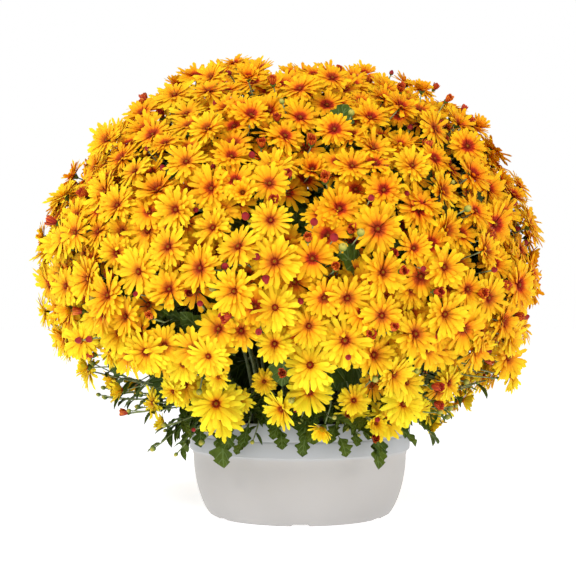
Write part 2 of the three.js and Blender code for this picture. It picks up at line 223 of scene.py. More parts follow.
# Heads with a place of their own, as (across, depth, height), facing, kind and size. The rest keep clear of them.
loneHeads = (
    ((-166, -20, 583), (-0.1, -0.1, 1), "half", 0.9), ((203, -20, 552), (0.3, -0.3, 1), "open", 0.95),
    ((-322, 10, 424), (-0.9, -0.2, 0.5), "open", 0.9), ((296, -30, 446), (0.8, -0.3, 0.6), "open", 0.9),
    ((286, -20, 190), (0.8, -0.5, 0.1), "open", 1.0), ((-283, -40, 196), (-0.9, -0.35, 0.1), "open", 1.0),
    ((-188, -172, 228), (-0.3, -0.9, 0.15), "open", 1.08), ((-190, -120, 160), (-0.85, -0.4, -0.1), "open", 0.85),
    ((-104, -214, 166), (-0.1, -1, 0.1), "open", 1.28), ((-144, -186, 187), (-0.35, -0.9, 0.1), "open", 1.12),
    ((-229, -60, 142), (-0.9, -0.2, 0.1), "cup", 0.85), ((-178, -90, 129), (-0.75, -0.3, 0.35), "half", 0.75),
    ((-45, -226, 194), (0.05, -1, 0.1), "open", 0.62), ((10, -236, 182), (0, -1, 0.1), "open", 1.08),
    ((64, -226, 171), (0.15, -1, 0.05), "open", 0.75), ((127, -192, 164), (0.35, -0.95, 0.05), "open", 1.08),
    ((93, -188, 140), (0.3, -0.9, -0.1), "half", 0.8), ((86, -224, 197), (0.1, -0.9, 0.4), "cup", 0.9),
    ((57, -206, 150), (0.1, -0.9, 0.3), "cup", 0.75), ((92, -176, 121), (0.2, -0.9, 0), "cup", 0.9),
    ((210, 120, 175), (0.7, 0.5, 0), "open", 0.9), ((40, 226, 168), (0.2, 1, 0), "open", 1.0),
    ((-120, 190, 172), (-0.4, 0.9, 0.1), "open", 1.05), ((-60, 205, 142), (-0.2, 0.9, 0.1), "half", 0.8),
    ((150, 165, 138), (0.6, 0.7, 0.2), "cup", 0.85), ((-142, -184, 525), (-0.3, -0.6, 0.75), "open", 1.0),
    ((-65, -322, 391), (-0.2, -0.8, 0.5), "bud", 1.05), ((14, -328, 384), (0.1, -0.8, 0.5), "bud", 1.0),
    ((7, -336, 362), (0, -0.8, 0.5), "cup", 0.85), ((37, -330, 366), (0.2, -0.8, 0.5), "bud", 1.1),
    ((68, -324, 372), (0.2, -0.8, 0.6), "bud", 1.0), ((47, -332, 355), (0, -0.9, 0.4), "bud", 1.1),
    ((-66, -331, 340), (-0.2, -0.8, 0.4), "bud", 1.1), ((-52, -333, 344), (0.2, -0.8, 0.4), "bud", 0.95),
    ((-41, -336, 318), (-0.1, -0.9, 0.3), "bud", 1.2), ((38, -334, 330), (0.1, -0.9, 0.4), "cup", 0.9),
    ((-176, -290, 273), (-0.4, -0.8, 0.4), "cup", 0.8), ((-118, -312, 290), (-0.2, -0.9, 0.4), "bud", 0.8),
)

allHeads = growHeads()
print("heads placed:", len(allHeads))


# a piece in the making, with the layers that its materials read
def newBlades():
    bm = bmesh.new()
    bm.verts.layers.float_color.new("tone")
    bm.loops.layers.uv.new("blade")
    return bm


def facesOf(verts):
    return {face for vert in verts for face in vert.link_faces}


def setTone(bm, verts, *tone):
    layer = bm.verts.layers.float_color["tone"]
    for vert in verts:
        vert[layer] = (*tone, 1)


# the blade map's place for each vertex comes in `places`
def paint(bm, verts, slot, places=None):
    uv = bm.loops.layers.uv["blade"]
    for face in facesOf(verts):
        face.smooth = True
        face.material_index = slot
        for loop in face.loops if places else ():
            loop[uv].uv = places[loop.vert]


def newMesh(bm, name, materials=()):
    mesh = bpy.data.meshes.new(name)
    bm.to_mesh(mesh)
    bm.free()
    for material in materials:
        mesh.materials.append(material)
    return mesh


def newObject(name, data):
    made = bpy.data.objects.new(name, data)
    bpy.context.scene.collection.objects.link(made)
    return made


def finishPiece(bm, name, materials, slotName, *nodes):
    bmesh.ops.scale(bm, vec=(mm, mm, mm), verts=bm.verts)
    piece = newObject(name, newMesh(bm, name, materials))
    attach(piece, "root")
    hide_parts(*nodes)


# turns local Z to a direction and spins about it
def placeAt(point, facing, size, spin=0.0):
    turned = facing.to_track_quat("Z", "Y").to_matrix().to_4x4() @ Matrix.Rotation(spin, 4, "Z")
    return Matrix.Translation(point) @ turned @ Matrix.Scale(size, 4)


def smoothStep(low, high, value):
    share = min(max((value - low) / (high - low), 0), 1)
    return share * share * (3 - 2 * share)


# A leaf starts as a grid over (across, along), both from -1 to 1. Its underside is a copy of the
# shaped grid with the inside lowered, joined all round the edge.
def thickenBlade(bm, faces, thickness):
    verts = {vert for face in faces for vert in face.verts}
    edges = {edge for face in faces for edge in face.edges}
    rim = {vert for edge in edges if len(edge.link_faces) == 1 for vert in edge.verts}
    for edge in edges:
        edge.smooth = len(edge.link_faces) == 2
    copied = bmesh.ops.duplicate(bm, geom=[*verts, *edges, *faces])
    below = copied["vert_map"]
    under = [item for item in copied["geom"] if isinstance(item, bmesh.types.BMFace)]
    for vert in verts - rim:
        below[vert].co -= vert.normal * thickness
    bmesh.ops.reverse_faces(bm, faces=under)
    bmesh.ops.weld_verts(bm, targetmap={below[vert]: vert for vert in rim})


# every material's nodes are made through the next few functions
def newMaterial(name):
    material = bpy.data.materials.new(name)
    material.use_nodes = True
    return material, material.node_tree, material.node_tree.nodes["Principled BSDF"]


# a number, a colour or another node's output goes into a socket
def feed(tree, socket, value):
    if isinstance(value, bpy.types.NodeSocket):
        tree.links.new(value, socket)
    else:
        socket.default_value = (*value, 1) if socket.type == "RGBA" else value


def addNode(tree, kind, **settings):
    node = tree.nodes.new("ShaderNode" + kind)
    for name, value in settings.items():
        if name in node.inputs:
            feed(tree, node.inputs[name], value)
        else:
            setattr(node, name, value)
    return node


# a look's finish, its bump (strength, depth) following the given height
def setSurface(tree, shader, colour, look, height=None):
    feed(tree, shader.inputs["Base Color"], colour)
    feed(tree, shader.inputs["Roughness"], look["roughness"])
    if "specular" in look:
        shader.inputs["Specular IOR Level"].default_value = look["specular"]
    if height:
        strength, depth = look["bump"]
        bump = addNode(tree, "Bump", Height=height, Strength=strength, Distance=depth)
        feed(tree, shader.inputs["Normal"], bump.outputs["Normal"])


def colourRamp(tree, stops, factor):
    ramp = addNode(tree, "ValToRGB", Fac=factor)
    elements = ramp.color_ramp.elements
    while len(elements) < len(stops):
        elements.new(0.5)
    for element, (position, colour) in zip(elements, stops):
        element.position = position
        element.color = (*colour, 1)
    return ramp.outputs["Color"]


def mathNode(tree, operation, *values):
    node = addNode(tree, "Math", operation=operation)
    for socket, value in zip(node.inputs, values):
        feed(tree, socket, value)
    return node.outputs["Value"]


def times(tree, first, second):
    return mathNode(tree, "MULTIPLY", first, second)


# a value from 0 to 1, brought to as much below nought as above it
def swing(tree, value, amount):
    return times(tree, mathNode(tree, "SUBTRACT", value, 0.5), amount)


# how far from a blade's middle line, 0 to 0.5
def fromMiddle(tree, across):
    return mathNode(tree, "ABSOLUTE", mathNode(tree, "SUBTRACT", across, 0.5))


def mixColours(tree, factor, first, second, blend="MIX"):
    node = addNode(tree, "Mix", data_type="RGBA", blend_type=blend)
    for index, value in ((0, factor), (6, first), (7, second)):
        feed(tree, node.inputs[index], value)
    return node.outputs[2]


def tinted(tree, colour, tint):
    return mixColours(tree, 1.0, colour, tint, "MULTIPLY")


def objectPlace(tree):
    return addNode(tree, "TexCoord").outputs["Object"]


def objectNoise(tree, scale, detail):
    return addNode(tree, "TexNoise", Vector=objectPlace(tree), Scale=scale, Detail=detail).outputs["Fac"]


# the blade's own (across, along) and the tone that each bloom and petal carries
def bladeInputs(tree):
    place = addNode(tree, "UVMap", uv_map="blade").outputs["UV"]
    parts = addNode(tree, "SeparateXYZ", Vector=place).outputs
    tone = addNode(tree, "Attribute", attribute_name="tone").outputs["Color"]
    return parts["X"], parts["Y"], addNode(tree, "SeparateColor", Color=tone).outputs


petalLook = {
    "roughness": 0.7, "specular": 0.12, "glow": 0.10, "glowDepth": (0.002, 0.001, 0.0002),
    "streaks": {"across": 7, "along": 2.2, "petal": 60, "scale": 1.4, "detail": 2, "shift": 0.16},
    "ageShift": 0.10,
    "tone": {"darkest": 0.76, "more": 0.26, "redPower": 0.35},
    "bump": (0.35, 0.0006),
    "goldenStops": (
        (0.08, (0.24, 0.016, 0.005)), (0.245, (0.44, 0.026, 0.006)), (0.295, (0.74, 0.12, 0.004)),
        (0.35, (0.87, 0.27, 0.004)), (0.53, (0.92, 0.43, 0.005)), (0.80, (0.94, 0.54, 0.007)),
    ),
    "lemonStops": (
        (0.06, (0.30, 0.05, 0.005)), (0.125, (0.50, 0.070, 0.005)), (0.165, (0.82, 0.26, 0.004)),
        (0.23, (0.92, 0.53, 0.007)), (0.38, (0.95, 0.71, 0.014)), (0.80, (0.96, 0.86, 0.028)),
    ),
}


def petalMaterial():
    material, tree, shader = newMaterial("petal")
    across, along, tones = bladeInputs(tree)
    streak = petalLook["streaks"]
    place = addNode(tree, "CombineXYZ", X=times(tree, across, streak["across"]),
                    Y=times(tree, along, streak["along"]), Z=times(tree, tones["Blue"], streak["petal"]))
    streaks = addNode(tree, "TexNoise", Vector=place.outputs["Vector"], Scale=streak["scale"],
                      Detail=streak["detail"]).outputs["Fac"]
    radial = mathNode(tree, "ADD", along, swing(tree, streaks, streak["shift"]))
    radial = mathNode(tree, "ADD", radial, swing(tree, tones["Red"], petalLook["ageShift"]))
    golden = colourRamp(tree, petalLook["goldenStops"], radial)
    lemon = colourRamp(tree, petalLook["lemonStops"], radial)
    look = petalLook["tone"]
    tone = mathNode(tree, "ADD", times(tree, tones["Blue"], look["more"]), look["darkest"])
    tint = addNode(tree, "CombineXYZ", X=mathNode(tree, "POWER", tone, look["redPower"]), Y=tone, Z=tone)
    colour = tinted(tree, mixColours(tree, tones["Green"], lemon, golden), tint.outputs["Vector"])
    setSurface(tree, shader, colour, petalLook, streaks)
    shader.inputs["Subsurface Weight"].default_value = petalLook["glow"]
    shader.inputs["Subsurface Radius"].default_value = petalLook["glowDepth"]
    shader.inputs["Subsurface Scale"].default_value = 1.0
    return material


discLook = {
    "ring": (
        (0.02, (0.26, 0.17, 0.008)), (0.05, (0.32, 0.09, 0.006)), (0.08, (0.26, 0.022, 0.004)),
        (0.14, (0.18, 0.010, 0.003)),
    ),
    "speckle": ((0.0, (1.5, 1.3, 0.8)), (0.6, (0.6, 0.5, 0.45))),
    "grain": 900, "roughness": 0.8, "specular": 0.1, "bump": (0.6, 0.0005),
}


def discMaterial():
    material, tree, shader = newMaterial("floretDisc")
    grains = addNode(tree, "TexVoronoi", Vector=objectPlace(tree), Scale=discLook["grain"]).outputs["Distance"]
    ring = colourRamp(tree, discLook["ring"], bladeInputs(tree)[1])
    speckle = colourRamp(tree, discLook["speckle"], grains)
    setSurface(tree, shader, tinted(tree, ring, speckle), discLook, grains)
    return material


openingLook = {
    "roughness": 0.55,
    "edge": (0.9, 0.75, 0.25),  # how much the side, the length and the bloom count
    "stops": (
        (0.20, (0.30, 0.012, 0.010)), (0.58, (0.46, 0.024, 0.012)), (0.78, (0.74, 0.12, 0.008)),
        (1.0, (0.93, 0.40, 0.012)),
    ),
}


# opening heads: crimson outside with yellow edges and tips
def openingMaterial():
    material, tree, shader = newMaterial("openingPetal")
    across, along, tones = bladeInputs(tree)
    side, length, own = (times(tree, value, share) for value, share in
                         zip((fromMiddle(tree, across), along, tones["Red"]), openingLook["edge"]))
    edge = mathNode(tree, "ADD", mathNode(tree, "ADD", side, length), own)
    setSurface(tree, shader, colourRamp(tree, openingLook["stops"], edge), openingLook)
    return material


budLook = {
    "roughness": 0.6, "specular": 0.2,
    "crimson": (
        (0.15, (0.20, 0.24, 0.05)), (0.35, (0.46, 0.10, 0.03)), (0.50, (0.45, 0.035, 0.040)),
        (1.0, (0.33, 0.013, 0.020)),
    ),
    "green": ((0.2, (0.09, 0.16, 0.03)), (0.6, (0.30, 0.38, 0.07)), (1.0, (0.62, 0.56, 0.10))),
    # painted shade in the furrows between the ribs and a painted lighter tone on the rounded ribs
    "paintedRibShading": ((0.1, (1.25, 1.2, 1.1)), (0.9, (0.40, 0.38, 0.42))),
}


def budMaterial():
    material, tree, shader = newMaterial("closedBud")
    _, along, tones = bladeInputs(tree)
    green = colourRamp(tree, budLook["green"], along)
    colour = mixColours(tree, tones["Green"], green, colourRamp(tree, budLook["crimson"], along))
    # painted shade in the furrows and a painted highlight on the ribs, multiplied into the bud's colour
    paintedRibShading = colourRamp(tree, budLook["paintedRibShading"], tones["Blue"])
    setSurface(tree, shader, tinted(tree, colour, paintedRibShading), budLook)
    return material


leafLook = {
    "roughness": 0.5, "specular": 0.15, "bump": (0.5, 0.0005), "grain": (140, 3),
    "face": (0.044, 0.086, 0.006),
    "young": (0.115, 0.170, 0.014),
    "rib": (0.16, 0.24, 0.07),
    "ribSpacing": 5.2, "ribLean": 1.8,
    "ribSharpness": (9, 14),  # side veins, midrib
    "ribStops": ((0.25, (0.55, 0.55, 0.55)), (0.9, (0, 0, 0))),
    "mottle": ((0.3, (0.72, 0.72, 0.72)), (0.7, (1.2, 1.15, 1.1))),
}


def leafMaterial():
    material, tree, shader = newMaterial("leaf")
    across, along, tones = bladeInputs(tree)
    side = fromMiddle(tree, across)
    wave = mathNode(tree, "SUBTRACT", times(tree, along, leafLook["ribSpacing"]),
                    times(tree, side, leafLook["ribLean"]))
    sideSharpness, midSharpness = leafLook["ribSharpness"]
    rib = mathNode(tree, "MINIMUM", times(tree, mathNode(tree, "PINGPONG", wave, 0.5), sideSharpness),
                   times(tree, side, midSharpness))
    base = mixColours(tree, tones["Red"], leafLook["face"], leafLook["young"])
    base = tinted(tree, base, colourRamp(tree, leafLook["mottle"], objectNoise(tree, *leafLook["grain"])))
    colour = mixColours(tree, colourRamp(tree, leafLook["ribStops"], rib), base, leafLook["rib"])
    setSurface(tree, shader, colour, leafLook, rib)
    return material


stemLook = {"flecks": ((0.3, (0.15, 0.21, 0.06)), (0.7, (0.35, 0.41, 0.19))), "grain": (260, 2), "roughness": 0.6,
            "bump": (0.4, 0.0003)}


def stemMaterial():
    material, tree, shader = newMaterial("stem")
    flecks = objectNoise(tree, *stemLook["grain"])
    setSurface(tree, shader, colourRamp(tree, stemLook["flecks"], flecks), stemLook, flecks)
    return material


budStuff = budMaterial()
bloomMaterials = [petalMaterial(), discMaterial(), openingMaterial(), budStuff]
greenMaterials = [leafMaterial(), stemMaterial(), budStuff]
bloomSlots = {"petal": 0, "disc": 1, "opening": 2, "bud": 3}
greenSlots = {"leaf": 0, "stem": 1, "bud": 2}


# Rows of petals, the lowest first: how many, where they start, how long and wide they are, how steeply
# they rise at the root, and how far they curl over by the tip.
bloomForms = {
    "open": {"disc": 3.9, "jitter": 1.25, "rows": (
        (23, 2.2, 25.5, 5.0, 4, 16), (20, 2.0, 23.0, 4.9, 14, 18), (13, 1.8, 15.5, 4.2, 27, 22))},
    "dish": {"disc": 3.7, "jitter": 1.25, "rows": (
        (22, 2.2, 24.5, 4.9, 18, 18), (18, 2.0, 21.5, 4.9, 30, 18), (12, 1.8, 15.0, 4.2, 42, 16))},
    "tucked": {"disc": 3.4, "jitter": 1.1, "rows": (
        (18, 2.2, 25.0, 5.5, 8, 14), (15, 2.0, 21.5, 5.5, 20, 18))},
    "deep": {"disc": 3.4, "jitter": 1.1, "rows": ((15, 2.2, 25.0, 6.6, 12, 14),)},
    "half": {"disc": 3.0, "jitter": 0.9, "rows": ((15, 2.4, 20.0, 5.4, 44, 6), (12, 2.0, 16.0, 5.0, 60, 4))},
    "cup": {"disc": 2.6, "jitter": 0.6, "rows": ((12, 2.6, 13.5, 5.0, 66, -26), (7, 1.6, 10.0, 4.6, 78, -22))},
}

templateSeeds = {"open": (3, 8, 14, 21, 30, 41), "dish": (4, 10, 19, 27), "tucked": (2, 11, 23), "deep": (7, 16),
                 "half": (5, 9), "cup": (6, 12)}

radialSpan = 30  # millimetres from a bloom's middle that the blade map's 0 to 1 covers
petalShape = {"along": (0, 0.44, 0.88, 1), "width": (0, 0.90, 1.0, 0), "ridge": 0.26, "sharpAngle": 1.0}
petalJitter = {"length": 0.11, "rise": 9, "curl": 20, "roll": 18, "turn": 0.12}
rowTurn = 0.4


# One petal: an upper side with a ridge along it and a plain lower side, joined along its margins.
def addPetal(bm, draw, row, turn, jitter, slot):
    _, root, length, width, rise, curl = row
    length *= 1 + spread(draw, petalJitter["length"] * jitter)
    rise = radians(rise + spread(draw, petalJitter["rise"] * jitter))
    curl = radians(curl + spread(draw, petalJitter["curl"] * jitter))
    roll = radians(spread(draw, petalJitter["roll"] * jitter))
    turn += spread(draw, petalJitter["turn"] * jitter)
    petalTone = draw()
    steps = len(petalShape["along"]) - 1
    verts = bmesh.ops.create_grid(bm, x_segments=2, y_segments=steps, size=1)["verts"]
    verts += bmesh.ops.create_grid(bm, x_segments=1, y_segments=steps, size=1)["verts"]
    places = {}
    for vert in verts:
        across = vert.co.x
        step = round((vert.co.y + 1) / 2 * steps)
        along = petalShape["along"][step]
        half = width / 2 * petalShape["width"][step]
        angle = rise - curl * along * 0.5
        ridge = petalShape["ridge"] * half * (1 - abs(across))
        out = root + length * along * cos(angle) - ridge * sin(angle)
        height = length * along * sin(angle) + ridge * cos(angle)
        vert.co = Vector((out, across * half * cos(roll), height + across * half * sin(roll)))
        places[vert] = (0.5 + 0.5 * across, (root + length * along) / radialSpan)
    setTone(bm, verts, 0, 0, petalTone)
    paint(bm, verts, slot, places)
    bmesh.ops.transform(bm, matrix=Matrix.Rotation(turn, 4, "Z"), verts=verts)
    bmesh.ops.remove_doubles(bm, verts=verts, dist=0.01)
    bmesh.ops.recalc_face_normals(bm, faces=list(facesOf(vert for vert in verts if vert.is_valid)))


def sharpenEdges(bm, angle):
    bm.normal_update()
    for edge in bm.edges:
        edge.smooth = len(edge.link_faces) == 2 and edge.calc_face_angle(0) < angle


discShape = {"flatness": 0.45, "lift": 0.9}


def addDisc(bm, radius):
    dome = bmesh.ops.create_uvsphere(bm, u_segments=8, v_segments=4, radius=radius)["verts"]
    for vert in dome:
        vert.co.z = vert.co.z * discShape["flatness"] + discShape["lift"]
    setTone(bm, dome, 0, 0, 0)
    paint(bm, dome, bloomSlots["disc"], {vert: (0.5, vert.co.xy.length / radialSpan) for vert in dome})


def bloomTemplate(name, seed):
    form = bloomForms[name]
    slot = bloomSlots["opening" if name == "cup" else "petal"]
    draw = randomFrom(seed)
    bm = newBlades()
    for number, row in enumerate(form["rows"]):
        for i in range(row[0]):
            turn = (i + 0.5 * number) / row[0] * fullTurn + number * rowTurn
            addPetal(bm, draw, row, turn, form["jitter"], slot)
    sharpenEdges(bm, petalShape["sharpAngle"])
    addDisc(bm, form["disc"])
    return newMesh(bm, f"{name}Template{seed}")


budForm = {"radius": 4.8, "stretch": 1.1, "ribs": 7, "ribDepth": 0.16, "point": 0.18}


def budTemplate():
    bm = newBlades()
    ribs = budForm["ribs"]
    ball = bmesh.ops.create_uvsphere(bm, u_segments=ribs * 2, v_segments=7, radius=budForm["radius"])["verts"]
    height = budForm["radius"] * budForm["stretch"]
    places = {}
    for vert in ball:
        turn = turnOf(vert.co)
        ridge = 0.5 + 0.5 * cos(turn * ribs)
        share = vert.co.z / budForm["radius"]
        vert.co.xy *= 1 - budForm["ribDepth"] * ridge * (0.5 + 0.5 * share)
        vert.co.z = share * height * (1 + budForm["point"] * max(share, 0) ** 4)
        setTone(bm, [vert], 0, 0, ridge)
        places[vert] = (turn / fullTurn + 0.5, vert.co.z / height / 2 + 0.5)
    paint(bm, ball, bloomSlots["bud"], places)
    return newMesh(bm, "budTemplate")


templates = {name: [bloomTemplate(name, seed) for seed in seeds] for name, seeds in templateSeeds.items()}
templates["bud"] = [budTemplate()]
print("bloom templates made")

lookSeed = 17
headSizes = {  # share of the template's own size, lowest and highest
    "open": (0.86, 1.18), "tucked": (0.84, 1.08), "deep": (0.85, 1.05), "half": (0.85, 1.05),
    "cup": (0.80, 1.10), "bud": (0.62, 0.95),
}
headLean = {"nod": 0.24, "toLight": Vector((0.0, -0.08, 0.10)), "top": Vector((0.0, -0.5, 0.0)),
            "topFrom": (0.55, 0.95), "height": 10, "budLift": 3}
growth = {"below": 1.05, "above": -0.17}  # heads are smaller towards the top
clearOfLone = {"reach": 33, "forBud": 0.6, "ofBud": 0.42, "least": 0.8}
openLooks = {"half": 0.07, "dish": 0.42, "dishAtTop": 0.2}
crimsonBuds = {"above": 210, "high": 0.8, "low": 0.25}
# the tucked share paints deep and tucked heads more golden and darker: painted shade for their depth
gold = {"middle": 0.68, "height": 0.46, "right": 0.20, "spread": 0.24, "lowFrom": 0.22, "low": 0.9, "tucked": 0.25}

# Low heads are sparser: some stay small or closed.
lowHeads = {"below": 225, "smallShare": 0.40, "smallSize": 0.68, "halfShare": 0.15}

# Where the stems and leaves show: direction seen from above, half width, height, share of heads left out.
barePatches = ((3.05, 0.95, 222, 0.82), (-1.80, 0.13, 196, 0.75), (-1.27, 0.16, 190, 0.70), (-0.35, 0.20, 185, 0.6),
               (0.9, 0.3, 185, 0.5), (2.0, 0.25, 185, 0.5))

# Humps and dips in the top of the cushion, as (across, width, height). The shoulder stands out on the right
# and is cut back on the left.
crown = {"from": 0.55, "bumps": ((-80, 38, 12), (-22, 20, -26), (56, 80, -16)), "shoulder": 0.45, "right": 10,
         "left": -20}

# Dark hollows between the front blooms, as (across, height, half width, half height).
hollows = ((-8, 402, 26, 18), (29, 525, 22, 10), (-52, 497, 15, 12), (-50, 305, 16, 15), (-165, 262, 27, 21),
           (-126, 284, 26, 16), (179, 277, 13, 12), (28, 346, 11, 8), (-61, 210, 20, 22), (-46, 180, 28, 20),
           (60, 192, 27, 20), (66, 165, 27, 15), (161, 207, 20, 20), (-168, 205, 12, 10), (-153, 145, 16, 14))

# Corrections to the outline of the heads near the middle: across, height, reach, how far out.
outline = ((-318, 470, 40, -16), (-268, 535, 36, -14), (-212, 568, 40, 13), (-85, 620, 36, 4), (-358, 305, 45, -15),
           (250, 541, 30, -14), (215, 575, 26, 12), (329, 408, 36, -14), (329, 353, 30, -10))
outlineDepth = 150


# golden towards the top and the right, lemon low down and to the left, and more golden for deep and tucked heads as
# painted shade
def goldenShare(head, draw):
    height = (head.point.z - cushion["centre"][2]) / cushion["rise"]
    share = gold["middle"] + gold["height"] * height + gold["right"] * head.aim[0] + spread(draw, gold["spread"])
    share += gold["low"] * min(height + gold["lowFrom"], 0)
    # painted shade: heads deep in the cushion take the darker golden colour
    if head.kind in ("deep", "tucked"):
        share += gold["tucked"]
    return min(max(share, 0), 1)


def shapeCrown(head):
    steep = smoothStep(crown["from"], 1, head.aim[2])
    lift = sum(height * exp(-((head.point.x - across) / width) ** 2)
               for across, width, height in crown["bumps"])
    head.point.z += lift * steep
    shoulder = sin(pi * smoothStep(crown["shoulder"], 1, head.aim[2]))
    across = head.aim[0] / max(hypot(head.aim[0], head.aim[1]), 0.01)
    head.point += head.facing * crown["right" if across > 0 else "left"] * abs(across) * shoulder


def shapeOutline(head):
    if abs(head.point.y) > outlineDepth:
        return
    outward = Vector((head.aim[0], 0, head.aim[2])).normalized()
    for across, height, reach, amount in outline:
        gap = hypot(head.point.x - across, head.point.z - height)
        head.point += outward * amount * exp(-((gap / reach) ** 2))


def isHollow(point):
    return point.y < 0 and any(hypot((point.x - x) / width, (point.z - z) / height) < 1
                               for x, z, width, height in hollows)


def isCrowded(head):
    reach = clearOfLone["reach"] * (clearOfLone["forBud"] if head.kind == "bud" else 1)
    return any((head.point - Vector(point)).length
               < reach * (clearOfLone["ofBud"] if kind == "bud" else max(size, clearOfLone["least"]))
               for point, _, kind, size in loneHeads)


def lowLook(head, draw):
    turn = turnOf(head.aim)
    lot = draw()
    for middle, halfWidth, below, goneShare in barePatches:
        apart = abs((turn - middle + pi) % fullTurn - pi)
        if apart < halfWidth and head.point.z < below:
            return "gone" if lot < goneShare else "half" if lot < goneShare + lowHeads["halfShare"] else "small"
    share = lowHeads["smallShare"]
    return ("small", "cup", "half", "bud", "small")[int(lot / share * 5)] if lot < share else None


def chooseLook(head, draw):
    look = head.kind
    lot = draw()
    if look == "open":
        dishes = openLooks["dish"] + openLooks["dishAtTop"] * head.aim[2]
        look = "half" if lot < openLooks["half"] else "dish" if lot < dishes else "open"
    size = within(draw, *headSizes["half" if look == "half" else head.kind])
    size *= growth["below"] + growth["above"] * max(head.aim[2], 0)
    lowKind = lowLook(head, draw) if head.point.z < lowHeads["below"] else None
    if lowKind in ("small", "gone"):
        size *= lowHeads["smallSize"]
    elif lowKind:
        look, size = lowKind, sum(headSizes[lowKind]) / 2
    head.isGone = lowKind == "gone" or isHollow(head.point) or isCrowded(head)
    return look, size


def leanHead(head, draw):
    nod = Vector(spread(draw, headLean["nod"]) for _ in range(3))
    lean = headLean["toLight"] + headLean["top"] * smoothStep(*headLean["topFrom"], head.aim[2])
    head.facing = (head.facing + nod + lean).normalized()
    head.point = head.point + head.facing * spread(draw, headLean["height"])
    if head.look == "bud":
        head.point = head.point + head.facing * headLean["budLift"]
    shapeCrown(head)
    shapeOutline(head)


def chooseTemplates():
    draw = randomFrom(lookSeed)
    for head in allHeads:
        head.look, head.size, head.isGone = head.kind, head.ownSize, False
        if not head.ownSize:
            head.look, head.size = chooseLook(head, draw)
            leanHead(head, draw)
        options = templates[head.look]
        head.spin = draw() * fullTurn
        head.template = options[int(draw() * len(options))]
        crimson = crimsonBuds["high" if head.point.z > crimsonBuds["above"] else "low"]
        head.tone = (draw(), float(draw() < crimson) if head.look == "bud" else goldenShare(head, draw))


chooseTemplates()
allHeads = [head for head in allHeads if not head.isGone]
print("heads kept:", len(allHeads))


# a copy of a template in its place, with its own tones beside the petals' ones
def addCopy(bm, template, place, bloomTone, golden):
    tone = bm.verts.layers.float_color["tone"]
    before = set(bm.verts)
    bm.from_mesh(template)
    fresh = [vert for vert in bm.verts if vert not in before]
    bmesh.ops.transform(bm, matrix=place, verts=fresh)
    for vert in fresh:
        vert[tone] = (bloomTone, golden, vert[tone].z, 1)
    return fresh


for index, name in enumerate(sprayNames):
    bm = newBlades()
    for head in allHeads:
        if head.spray == index:
            addCopy(bm, head.template, placeAt(head.point, head.facing, head.size, head.spin), *head.tone)
    finishPiece(bm, f"{name}_blooms", bloomMaterials, "petals", name)
print("blooms placed")


# the bowl, which the outer stems lean over
bowl = {
    "height": 135, "baseRadius": 119, "bodyRadius": 145, "bodyHeight": 82, "rimRadius": 152, "wall": 3, "floor": 6,
    "steps": 180, "sharpAngle": 0.6,
    "drains": 6, "drainWidth": 20, "drainHeight": 3, "drainReach": 96, "drainRadius": 4.5, "drainEdge": 2,
    "drainCut": 6.5,  # half the width of the faces that make way for a hole
}


def bezier(points, count):
    return geometry.interpolate_bezier(*points, count)


# a place over the rim: direction seen from above, how far outside it and above it
def overRim(turn, out, above):
    return around(turn, bowl["rimRadius"] + out, bowl["height"] + above)


# a stem along a line of points, a ring of edges drawn out from one to the next
def addStem(bm, points, startRadius, endRadius, sides=5):
    ring = bmesh.ops.create_circle(bm, cap_ends=True, segments=sides, radius=1)["verts"]
    edges = list(facesOf(ring).pop().edges)
    shape = [vert.co.copy() for vert in ring]
    way = points[1] - points[0]
    turned = way.to_track_quat("Z", "Y")
    made = []
    for i, point in enumerate(points):
        if i > 0:
            after = points[min(i + 1, len(points) - 1)] - points[i - 1]
            turned = way.rotation_difference(after) @ turned
            way = after
            grown = bmesh.ops.extrude_edge_only(bm, edges=edges)["geom"]
            edges = [item for item in grown if isinstance(item, bmesh.types.BMEdge)]
            ring = [next(edge.other_vert(vert) for edge in vert.link_edges if edge.other_vert(vert) in grown)
                    for vert in ring]
        radius = startRadius + (endRadius - startRadius) * (i / (len(points) - 1))
        for vert, local in zip(ring, shape):
            vert.co = point + turned @ (local * radius)
        made += ring
    bmesh.ops.contextual_create(bm, geom=edges)
    bmesh.ops.recalc_face_normals(bm, faces=list(facesOf(made)))
    paint(bm, made, greenSlots["stem"])
    setTone(bm, made, 0.5, 0.5, 0.5)


leafForms = {
    "lobed": {"columns": 4, "rows": 15, "width": 0.72, "sinus": 1, "sweep": 0.15, "fold": 0.22, "thickness": 0.6,
              "young": 0.8},
    # inner leaves keep to the darker end of the leaf tone: painted shade for leaves deep inside the plant
    "inner": {"columns": 2, "rows": 9, "width": 0.66, "sinus": 0.40, "sweep": 0.14, "fold": 0.25, "thickness": 0.6,
              "young": 0.25},
    "narrow": {"columns": 2, "rows": 6, "width": 0.30, "sinus": 0.0, "sweep": 0.05, "fold": 0.40, "thickness": 0.5,
               "young": 0.9},
}

lobes = {"start": 0.26, "spacing": 0.28}

# half width of a lobed leaf at each of its rows: stalk, two low lobes, two wide ones, and a toothed end
lobedWidths = (0.04, 0.05, 0.14, 0.46, 0.72, 0.68, 0.46, 0.66, 0.95, 0.98, 0.66, 0.56, 0.72, 0.54, 0.30, 0)


def leafHalfWidth(along, sinus):
    if sinus == 1:
        return lobedWidths[round(along * (len(lobedWidths) - 1))]
    envelope = sin(pi * min(0.04 + 0.96 * along, 1)) ** 0.75
    wave = abs(cos(pi * (along - lobes["start"]) / lobes["spacing"]))
    neck = smoothStep(-0.02, 0.2, along)
    return envelope * neck * (1 - sinus + sinus * wave**0.8)


leafScatter = {"width": 0.08, "bend": 0.12, "twist": 0.25}
ripple = {"height": 0.02, "waves": 17}  # along the margins


